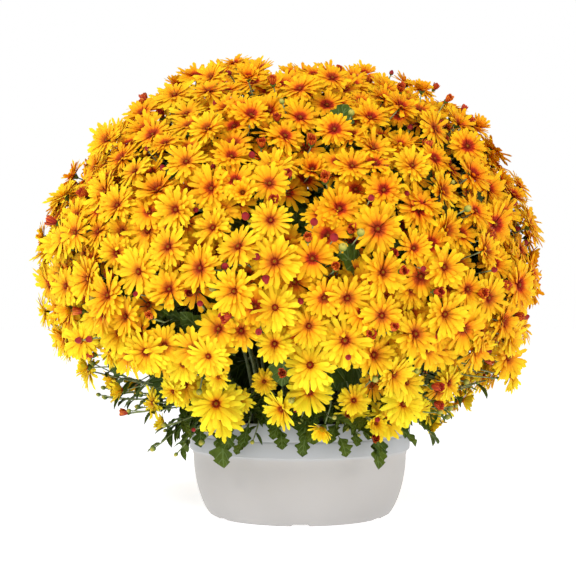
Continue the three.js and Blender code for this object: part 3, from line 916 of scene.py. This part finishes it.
# A leaf from its root along `way`, its upper face towards `face`.
def addLeaf(bm, draw, root, way, face, length, droop=0.3, kind="lobed"):
    form = leafForms[kind]
    grid = bmesh.ops.create_grid(bm, x_segments=form["columns"], y_segments=form["rows"], size=1)["verts"]
    faces = list(facesOf(grid))
    width = length * (form["width"] + spread(draw, leafScatter["width"]))
    bend = droop + spread(draw, leafScatter["bend"])
    twist = spread(draw, leafScatter["twist"])
    setTone(bm, grid, draw() * form["young"], 0, 0)
    wave = draw() * fullTurn
    places = {}
    for vert in grid:
        across = vert.co.x
        along = (vert.co.y + 1) / 2
        half = leafHalfWidth(along, form["sinus"]) * width / 2
        outward = abs(across)
        forward = along + form["sweep"] * outward * sin(pi * along)
        rise = form["fold"] * outward * half - bend * length * along * along
        rise += ripple["height"] * length * outward * sin(along * ripple["waves"] + wave)
        rise += twist * across * half
        vert.co = Vector((across * half, forward * length, rise))
        places[vert] = (0.5 + 0.5 * across, along)
    paint(bm, grid, greenSlots["leaf"], places)
    along = way.normalized()
    over = (face - along * face.dot(along)).normalized()
    turned = Matrix((along.cross(over), along, over)).transposed().to_4x4()
    bmesh.ops.transform(bm, matrix=Matrix.Translation(root) @ turned, verts=grid)
    bm.normal_update()
    if sum(item.normal.dot(over) for item in faces) < 0:
        bmesh.ops.reverse_faces(bm, faces=faces)
        bm.normal_update()
    thickenBlade(bm, faces, form["thickness"])


shoots = {
    "firstSeed": 101, "fieldRadius": 108, "footHeight": 97, "stemRadii": (2.2, 1.54), "stalkRadii": (1.3, 0.85),
    "calyxDepth": 5,
    "archedBelow": 215,  # lone heads this low grow on arched stalks
    "leafLength": (42, 60), "deepLeaves": 12, "deepLength": 78,
}

# Leafy twigs that hang over the rim: direction seen from above, how far down, leaves, with or without a bud.
rimTwigs = (
    (-2.82, 4, 5, 0), (-2.62, 26, 6, 1), (-2.42, 8, 6, 0), (-2.17, 26, 7, 0), (-1.98, 34, 7, 1), (-1.72, 12, 6, 1),
    (-1.52, 16, 7, 0), (-1.29, 30, 6, 1), (-1.16, 12, 5, 0), (-1.00, 46, 7, 0), (-0.76, 18, 6, 0), (-0.35, 22, 6, 1),
    (0.10, 28, 7, 0), (0.52, 10, 6, 0), (0.95, 26, 6, 1), (1.40, 18, 7, 0), (1.85, 32, 6, 0), (2.30, 12, 6, 1),
    (2.77, 6, 5, 0),
)

# Thin side stems below the cushion, all round.
sideStems = {"count": 30, "seed": 77, "reach": (172, 262), "radii": (1.4, 0.8), "archedRadii": (1.6, 1.1),
             "leafLength": (18, 34)}

# More of them as (tip, leaves), mostly at the lower left.
leafyStems = (
    ((-178, -76, 120), 8), ((-192, -98, 98), 7), ((-160, -126, 94), 8), ((-216, -60, 150), 7), ((-248, -48, 176), 6),
    ((-276, -60, 208), 6), ((-206, -112, 172), 7), ((-236, -90, 196), 6), ((196, -90, 150), 6), ((236, -60, 182), 6),
)


def shootFoot(index):
    radius = shoots["fieldRadius"] * sqrt((index + 0.5) / len(shootNames))
    return around(sprays["start"] + index * goldenAngle, radius, shoots["footHeight"])


def shootPoints(index):
    foot = shootFoot(index)
    seat, way = (Vector(item) for item in spraySeat(index))
    height = (seat - foot).length
    return bezier((foot, foot + up * height * 0.45, seat - way * height * 0.3, seat + way * sprays["hubBack"]), 12)


def calyxBase(head):
    return head.point - head.facing * shoots["calyxDepth"] * head.size


def stalkPoints(head):
    base = calyxBase(head)
    reach = (base - head.hub).length
    return bezier((head.hub, head.hub + head.way * reach * 0.45, base - head.facing * reach * 0.3, base), 5)


def addCalyx(bm, head):
    size = head.size * (1 if head.look in ("cup", "bud") else 1.25)
    cup = bmesh.ops.create_cone(bm, cap_ends=True, segments=8, radius1=1.2, radius2=4.4, depth=5)["verts"]
    seat = head.point - head.facing * 2.6 * size
    bmesh.ops.transform(bm, matrix=placeAt(seat, head.facing, size, head.spin), verts=cup)
    paint(bm, cup, greenSlots["leaf"])
    setTone(bm, cup, 0.8, 0, 0)


def addSmallBud(bm, point, way, size, golden=0.0):
    paint(bm, addCopy(bm, templates["bud"][0], placeAt(point, way, size), 0.5, golden), greenSlots["bud"])


twigForm = {"radii": (1.7, 1.0), "leavesFrom": 0.35, "fan": (1.5, 1.2), "leafLength": (20, 16), "droop": (0.25, 0.2),
            "budRadii": (0.8, 0.7), "budReach": 18, "budSize": 0.75}


# a stem from the lower part of a shoot, through two handles to its end
def addBranch(bm, index, handles, count, radii):
    points = bezier((shootPoints(index)[3], *handles), count)
    addStem(bm, points, *radii)
    return points


def addRimTwig(bm, draw, index, turn, drop, leaves, hasBud):
    handles = (overRim(turn, -22, 34), overRim(turn, 8, 30), overRim(turn, 18, 2 - drop * 0.5))
    points = addBranch(bm, index, handles, 8, twigForm["radii"])
    wide, narrowing = twigForm["fan"]
    length, longer = twigForm["leafLength"]
    droop, more = twigForm["droop"]
    start = twigForm["leavesFrom"]
    for i in range(leaves):
        share = start + (1 - start) * i / max(leaves - 1, 1)
        root = points[min(int(share * 7), 7)]
        side = (i % 2 * 2 - 1) * (wide - narrowing * share) + spread(draw, 0.5)
        out = around(turn + side, 1, 0)
        way = out * 0.9 + up * (0.2 - 1.5 * share * (0.4 + 0.6 * draw()))
        face = out * 0.6 + up * 0.8 + around(turn, 0.5, 0)
        addLeaf(bm, draw, root, way, face, length + drop * 0.2 + longer * draw(), droop=droop + more * draw())
    if hasBud:
        root = points[5]
        tip = root + around(turn + spread(draw, 0.8), twigForm["budReach"], -10 - 14 * draw())
        handles = (root, root + around(turn, 12, 8), tip + up * 8, tip)
        addStem(bm, bezier(handles, 5), *twigForm["budRadii"], sides=4)
        addSmallBud(bm, tip, (tip - root).normalized(), twigForm["budSize"])


# narrow leaves on alternate sides: how far apart and how much more, how steep and how much less
def addNarrowLeaves(bm, draw, roots, turn, apart, more, rise, fall):
    for i, root in enumerate(roots):
        way = around(turn + (i % 2 * 2 - 1) * (apart + more * draw()), 1, 0) + up * (rise - fall * draw())
        addLeaf(bm, draw, root, way, up + around(turn, 0.4, 0), within(draw, *sideStems["leafLength"]), kind="narrow")


def sideStemEnd(draw, turn):
    reach = within(draw, *sideStems["reach"])
    share = min(reach / cushion["radius"], 1)
    under = cushion["centre"][2] - cushion["drop"] * sqrt(1 - share * share)
    return around(turn + spread(draw, 0.12), reach, max(under - 4 - 16 * draw(), 112)) + Vector((-16, 0, 0))


def addSideStem(bm, draw, index, end, leaves):
    turn = turnOf(end)
    handles = (overRim(turn, -20, 32), end.lerp(overRim(turn, 0, 0), 0.5), end)
    points = addBranch(bm, index, handles, 10, sideStems["radii"])
    addNarrowLeaves(bm, draw, [points[4 + int(i * 5 / leaves)] for i in range(leaves)], turn, 0.5, 0.8, 0.1, 0.8)
    addSmallBud(bm, end, (points[9] - points[8]).normalized(), 0.45 + 0.4 * draw(), golden=float(draw() < 0.1))


# the stalk of a low head of its own, arching out over the rim
def addArchedStalk(bm, draw, index, head):
    base = calyxBase(head)
    turn = turnOf(base)
    over = overRim(turn, -10, 12 + 10 * draw())
    handles = (over, base.lerp(over, 0.35) - head.facing * 14, base)
    points = addBranch(bm, index, handles, 10, sideStems["archedRadii"])
    addNarrowLeaves(bm, draw, points[3:8], turn, 0.6, 0.7, 0.2, 0.9)


def nearestShoot(turn):
    outer = range(len(shootNames) - 12, len(shootNames))
    return min(outer, key=lambda index: -shootFoot(index).xy.normalized().dot(around(turn, 1, 0).xy))


def isLowLone(head):
    return head.ownSize and head.point.z < shoots["archedBelow"]


def outerGrowths():
    draw = randomFrom(sideStems["seed"])
    growths = {index: [] for index in range(len(shootNames))}

    def add(turn, grow, *settings):
        growths[nearestShoot(turn)].append((grow, settings))

    for twig in rimTwigs:
        add(twig[0], addRimTwig, *twig)
    for head in filter(isLowLone, allHeads):
        add(turnOf(head.point), addArchedStalk, head)
    for i in range(sideStems["count"]):
        turn = (i + 0.6 * draw()) / sideStems["count"] * fullTurn
        add(turn, addSideStem, sideStemEnd(draw, turn), 4)
    for end, leaves in leafyStems:
        add(turnOf(end), addSideStem, Vector(end), leaves)
    return growths


allGrowths = outerGrowths()


def crossWay(way, turn):
    side = way.orthogonal().normalized()
    side.rotate(Matrix.Rotation(turn, 3, way))
    return side


# the leaf on a bloom's stalk
def addStalkLeaf(bm, draw, head, points):
    isLow = head.point.z < lowHeads["below"]
    root = points[1].lerp(points[3], (0.6 if isLow else 0.45) + 0.5 * draw())
    way = crossWay(head.way, draw() * fullTurn) + head.way * (0.1 + 0.4 * draw())
    length = within(draw, *shoots["leafLength"]) * (0.7 if isLow else 1)
    addLeaf(bm, draw, root, way, head.way, length, kind="lobed" if isLow else "inner")


def makeShoot(index, name):
    draw = randomFrom(shoots["firstSeed"] + index)
    bm = newBlades()
    stem = shootPoints(index)
    addStem(bm, stem, *shoots["stemRadii"], sides=6)
    for head in allHeads:
        if head.spray != index:
            continue
        addCalyx(bm, head)
        if isLowLone(head):
            continue
        points = stalkPoints(head)
        addStem(bm, points, *shoots["stalkRadii"], sides=4)
        if head.kind in ("open", "tucked"):
            addStalkLeaf(bm, draw, head, points)
    hub, way = stem[-1], (stem[-1] - stem[-2]).normalized()
    for i in range(shoots["deepLeaves"]):
        outward = crossWay(way, i * goldenAngle) + way * (0.2 + 0.6 * draw())
        addLeaf(bm, draw, hub + way * 4 * (i % 3), outward, way, shoots["deepLength"], droop=0.1, kind="inner")
    for grow, settings in allGrowths[index]:
        grow(bm, draw, index, *settings)
    finishPiece(bm, f"{name}_green", greenMaterials, "foliage", name)


for index, name in enumerate(shootNames):
    makeShoot(index, name)
print("stems and leaves grown")


# the bowl widens from its foot towards its rim
def bodyRadius(height):
    rise = min(height / bowl["bodyHeight"], 1)
    return bowl["baseRadius"] + (bowl["bodyRadius"] - bowl["baseRadius"]) * sin(rise * pi / 2) ** 0.62


def bowlProfile():
    rim = bowl["rimRadius"]
    reach, hole = bowl["drainReach"], bowl["drainRadius"]
    outside = [(0, 0), (60, 0), (reach - 10, 0), (reach - 8, 0), (reach - hole, 0), (reach, 0), (reach + hole, 0),
               (110, 0), (bowl["baseRadius"] - 1.5, 0), (bowl["baseRadius"], 0.8)]
    outside += [(bodyRadius(z), z) for z in (3, 6, 10, 15, 21, 28, 36, 45, 55, 65, 74, 82)]
    outside += [
        (146.2, 86), (146.6, 88.6), (147.4, 89.6), (149.2, 90), (150.0, 90.8), (150.3, 93),
        (150.8, 108.8), (150.7, 110.4), (150.3, 111), (150.2, 111.8), (150.6, 112.6), (150.9, 114),
        (rim, 131.5), (rim, 133.6), (rim - 0.6, 134.7), (rim - 1.8, 135),
    ]
    inside = [(rim - 3.4, 134.7), (rim - 4, 133.4), (bowl["bodyRadius"] - bowl["wall"], bowl["bodyHeight"])]
    inside += [(bodyRadius(z) - bowl["wall"], z) for z in (55, 28, 15)]
    inside += [(bodyRadius(8) - bowl["wall"] - 2, bowl["floor"])]
    inside += [(radius, bowl["floor"]) for radius in (reach + hole, reach, reach - hole, 0)]
    return outside + inside


def spinProfile(bm, profile, steps):
    verts = [bm.verts.new((radius, 0, height)) for radius, height in profile]
    edges = [bm.edges.new(pair) for pair in zip(verts, verts[1:])]
    bmesh.ops.spin(bm, geom=verts + edges, cent=(0, 0, 0), axis=(0, 0, 1), angle=fullTurn,
                   steps=steps, use_merge=True, use_duplicate=False)
    bmesh.ops.remove_doubles(bm, verts=bm.verts, dist=0.01)
    bmesh.ops.dissolve_degenerate(bm, dist=0.001, edges=bm.edges)
    bmesh.ops.recalc_face_normals(bm, faces=bm.faces)


bowlLook = {
    "cloudSize": (9, 3), "grain": (1500, 1), "bump": (0.12, 0.0002),
    "cloud": ((0.35, (0.460, 0.444, 0.432)), (0.65, (0.488, 0.472, 0.460))),
    # painted shade darkens the foot against the light from below, and a painted cool light tints the rim band
    "paintedLightStops": (  # darker at the foot, cooler on the rim band, by metres of height
        (0.0, (0.85, 0.85, 0.855)), (0.07, (0.985, 0.985, 0.985)),
        (0.0894, (0.995, 0.995, 0.995)), (0.0900, (0.93, 1.0, 1.075)),
    ),
    "roughRange": {"To Min": 0.42, "To Max": 0.55},
}


def plasticMaterial():
    material, tree, shader = newMaterial("bowlPlastic")
    cloud = objectNoise(tree, *bowlLook["cloudSize"])
    height = addNode(tree, "SeparateXYZ", Vector=objectPlace(tree)).outputs["Z"]
    # painted shade at the foot and painted cool light on the rim band, multiplied into the plastic's colour
    tint = colourRamp(tree, bowlLook["paintedLightStops"], height)
    colour = tinted(tree, colourRamp(tree, bowlLook["cloud"], cloud), tint)
    rough = addNode(tree, "MapRange", Value=cloud, **bowlLook["roughRange"]).outputs["Result"]
    setSurface(tree, shader, colour, {**bowlLook, "roughness": rough}, objectNoise(tree, *bowlLook["grain"]))
    return material


# a round hole through the floor: the faces above and below go, and the two openings are joined
def cutDrain(bm, centre):
    radius = bowl["drainRadius"]
    outward = centre.normalized()
    opened = []
    for face in bm.faces:
        middle = face.calc_center_median()
        offset = middle - centre
        out = offset.dot(outward)
        side = abs(offset.cross(outward).z)
        if middle.z < bowl["floor"] + 1 and abs(out) < radius and side < bowl["drainCut"]:
            opened.append(face)
    bmesh.ops.delete(bm, geom=opened, context="FACES")
    edges = [edge for edge in bm.edges if len(edge.link_faces) == 1]
    for vert in {vert for edge in edges for vert in edge.verts}:
        vert.co.xy = centre.xy + (vert.co - centre).xy.normalized() * radius
    bmesh.ops.bridge_loops(bm, edges=edges)


def makeBowl():
    bm = bmesh.new()
    spinProfile(bm, bowlProfile(), bowl["steps"])
    for vert in bm.verts:
        radius = vert.co.xy.length
        if vert.co.z < 1 and radius > bowl["drainReach"] - 9:
            turn = turnOf(vert.co) + pi / 2
            pitch = fullTurn / bowl["drains"]
            offset = abs((turn + pitch / 2) % pitch - pitch / 2) * radius
            half, edge = bowl["drainWidth"] / 2, bowl["drainEdge"]
            share = 1 - smoothStep(half - edge, half + edge, offset)
            vert.co.z += (bowl["drainHeight"] - vert.co.z) * share
    for i in range(bowl["drains"]):
        cutDrain(bm, around(i / bowl["drains"] * fullTurn - pi / 2, bowl["drainReach"], 0))
    bmesh.ops.recalc_face_normals(bm, faces=bm.faces)
    for face in bm.faces:
        face.smooth = True
    sharpenEdges(bm, bowl["sharpAngle"])
    finishPiece(bm, "bowl", [plasticMaterial()], "pot", "pot")


makeBowl()


soil = {"seed": 55, "top": 117, "rings": 14, "steps": 96, "gap": 0.6, "lumps": 3.2, "edgeFall": 6, "crumbs": 260}
soilLook = {
    "roughness": 0.95, "bump": (0.9, 0.002), "grain": (220, 6),
    "clods": ((0.30, (0.006, 0.004, 0.003)), (0.55, (0.030, 0.018, 0.010)), (0.75, (0.075, 0.045, 0.026))),
}


def soilMaterial():
    material, tree, shader = newMaterial("pottingMix")
    clods = objectNoise(tree, *soilLook["grain"])
    setSurface(tree, shader, colourRamp(tree, soilLook["clods"], clods), soilLook, clods)
    return material


def makeSoil():
    bm = bmesh.new()
    inset = bowl["wall"] + soil["gap"]
    side, top, bottom = bowl["bodyRadius"] - inset, soil["top"], bowl["floor"] + 0.4
    profile = [(side * i / soil["rings"], top) for i in range(soil["rings"] + 1)] + [(side, bowl["bodyHeight"])]
    profile += [(bodyRadius(z) - inset, z) for z in (45, 21)]
    profile += [(bodyRadius(8) - bowl["wall"] - 4, bottom), (0, bottom)]
    spinProfile(bm, profile, soil["steps"])
    for vert in bm.verts:
        if vert.co.z > top - 1:
            lump = noise.fractal(vert.co * 0.03, 0.8, 2.1, 4)
            vert.co.z += lump * soil["lumps"] - soil["edgeFall"] * (vert.co.xy.length / side) ** 6
    draw = randomFrom(soil["seed"])
    for _ in range(soil["crumbs"]):
        radius = (side - 8) * sqrt(draw())
        centre = around(draw() * fullTurn, radius, top + 0.5)
        crumb = bmesh.ops.create_icosphere(bm, subdivisions=1, radius=1.2 + 2.6 * draw())["verts"]
        turned = Matrix.Rotation(draw() * 6, 4, "X") @ Matrix.Diagonal((1, 0.8, 0.7, 1))
        bmesh.ops.transform(bm, matrix=Matrix.Translation(centre) @ turned, verts=crumb)
    finishPiece(bm, "potting_mix", [soilMaterial()], "soil", "soil")


makeSoil()
print("bowl and soil made")


# floor, lights and camera
stage = {
    "radius": 9.0, "segments": 96, "white": (0.93, 0.93, 0.93), "roughness": 0.9, "glow": 0.62,
    "sky": ((0.22, (1, 1, 1)), (0.55, (0.35, 0.35, 0.35))),  # by height
    "camera": (-0.016, -2.04, 0.308), "fieldOfView": 21.9,
    "lights": (  # name, place, target, size, power
        ("key", (-1.2, -1.8, 2.1), (0, 0, 0.35), 0.8, 45),
        ("fill", (1.9, -1.5, 1.2), (0, 0, 0.3), 1.8, 14),
    ),
}


def makeFloor():
    bm = bmesh.new()
    bmesh.ops.create_circle(bm, cap_ends=True, segments=stage["segments"], radius=stage["radius"])
    material, tree, shader = newMaterial("floorPaper")
    setSurface(tree, shader, stage["white"], stage)
    shader.inputs["Emission Color"].default_value = (1, 1, 1, 1)
    shader.inputs["Emission Strength"].default_value = stage["glow"]
    floor = newObject("floor", newMesh(bm, "floor", [material]))


def addLight(name, place, target, size, power):
    lamp = bpy.data.lights.new(name, "AREA")
    lamp.shape = "DISK"
    lamp.size = size
    lamp.energy = power
    light = newObject(name, lamp)
    light.location = place
    light.rotation_euler = (Vector(target) - Vector(place)).to_track_quat("-Z", "Y").to_euler()


def makeCamera():
    lens = bpy.data.cameras.new("camera")
    lens.angle = radians(stage["fieldOfView"])
    view = newObject("camera", lens)
    view.location = stage["camera"]
    view.rotation_euler = (pi / 2, 0, 0)
    bpy.context.scene.camera = view


# white all round at eye level, dimmer overhead so that the lamps shape the blooms
def makeSurroundings():
    world = bpy.data.worlds.new("studio")
    world.use_nodes = True
    tree = world.node_tree
    place = addNode(tree, "TexCoord").outputs["Generated"]
    height = addNode(tree, "SeparateXYZ", Vector=place).outputs["Z"]
    feed(tree, tree.nodes["Background"].inputs["Color"], colourRamp(tree, stage["sky"], height))
    bpy.context.scene.world = world


makeFloor()
for light in stage["lights"]:
    addLight(*light)
makeCamera()
makeSurroundings()
bpy.context.scene.view_settings.view_transform = "Standard"

faceCount = sum(len(mesh.polygons) for mesh in bpy.data.meshes if mesh.users)
print("faces in the scene:", faceCount)
